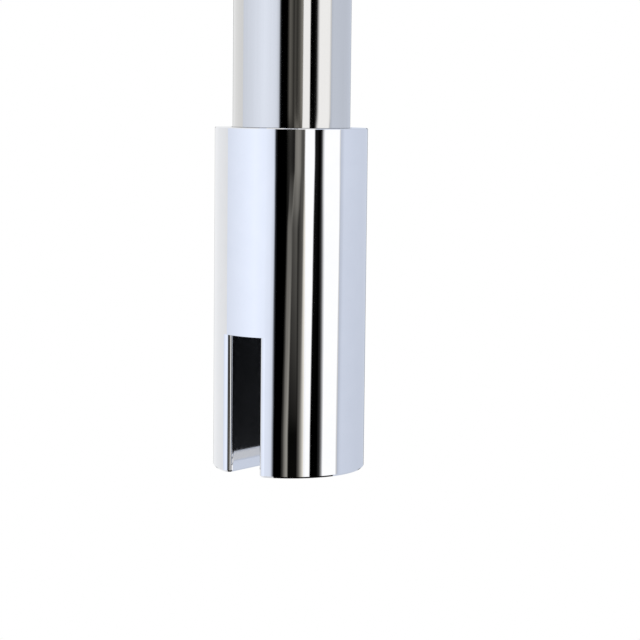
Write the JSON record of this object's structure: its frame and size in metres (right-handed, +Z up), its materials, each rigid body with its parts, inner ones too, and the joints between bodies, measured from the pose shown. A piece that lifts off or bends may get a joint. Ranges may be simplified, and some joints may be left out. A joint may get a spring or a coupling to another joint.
{
  "type": "shower screen support bar",
  "caption": "Ceiling-hung round support bar with a slotted cylindrical clamp that grips the top edge of a shower screen, and a sliding round cover over its base.",
  "frame": {"origin": "centre of the base's flat face, where it meets the ceiling", "axes": "+Z up into the ceiling along the bar, +X along the glass slot, +Y towards the clamp's rear leg with the grip screws"},
  "size_m": [0.054, 0.054, 0.3],
  "materials": {
    "chrome_plated_brass": "mirror chrome plate on polished brass",
    "polished_stainless_tube": "mirror-polished stainless steel",
    "slot_rubber": "matt black EPDM sheet",
    "ring_rubber": "moulded black nitrile",
    "stainless_screw": "plain machined stainless steel",
    "nylon": "natural turned nylon",
    "turned_brass": "plain turned brass"
  },
  "bodies": {
    "bar": {"tube": "polished_stainless_tube", "ceiling_base": "turned_brass", "base_lock_screw": "stainless_screw"},
    "clamp": {"glass_clamp": "chrome_plated_brass", "glass_pad": "slot_rubber", "clamp_lock_screw": "stainless_screw"},
    "upper_plug": {"grip_plug_upper": "nylon"},
    "upper_screw": {"grip_screw_upper": "stainless_screw"},
    "lower_plug": {"grip_plug_lower": "nylon"},
    "lower_screw": {"grip_screw_lower": "stainless_screw"},
    "cover": {"cover": "chrome_plated_brass", "cover_ring": "ring_rubber"}
  },
  "joints": [
    {"name": "clamp_swivel", "type": "hinge", "parent": "bar", "child": "clamp", "pos_m": [0, 0, -0.271], "axis": [0, 0, 1], "continuous": true},
    {"name": "upper_plug_slide", "type": "slide", "parent": "clamp", "child": "upper_plug", "axis": [0, -1, 0], "range_m": [0, 0.0016]},
    {"name": "upper_screw_turn", "type": "hinge", "parent": "upper_plug", "child": "upper_screw", "pos_m": [0, 0.00905, -0.2845], "axis": [0, -1, 0], "range_deg": [0, 720]},
    {"name": "lower_plug_slide", "type": "slide", "parent": "clamp", "child": "lower_plug", "axis": [0, -1, 0], "range_m": [0, 0.0016]},
    {"name": "lower_screw_turn", "type": "hinge", "parent": "lower_plug", "child": "lower_screw", "pos_m": [0, 0.00905, -0.2935], "axis": [0, -1, 0], "range_deg": [0, 720]},
    {"name": "cover_slide", "type": "slide", "parent": "bar", "child": "cover", "axis": [0, 0, -1], "range_m": [0, 0.2208]}
  ],
  "couplings": [
    {"joint": "upper_screw_turn", "follows": "upper_plug_slide", "rad_per_m": 7854},
    {"joint": "lower_screw_turn", "follows": "lower_plug_slide", "rad_per_m": 7854}
  ]
}
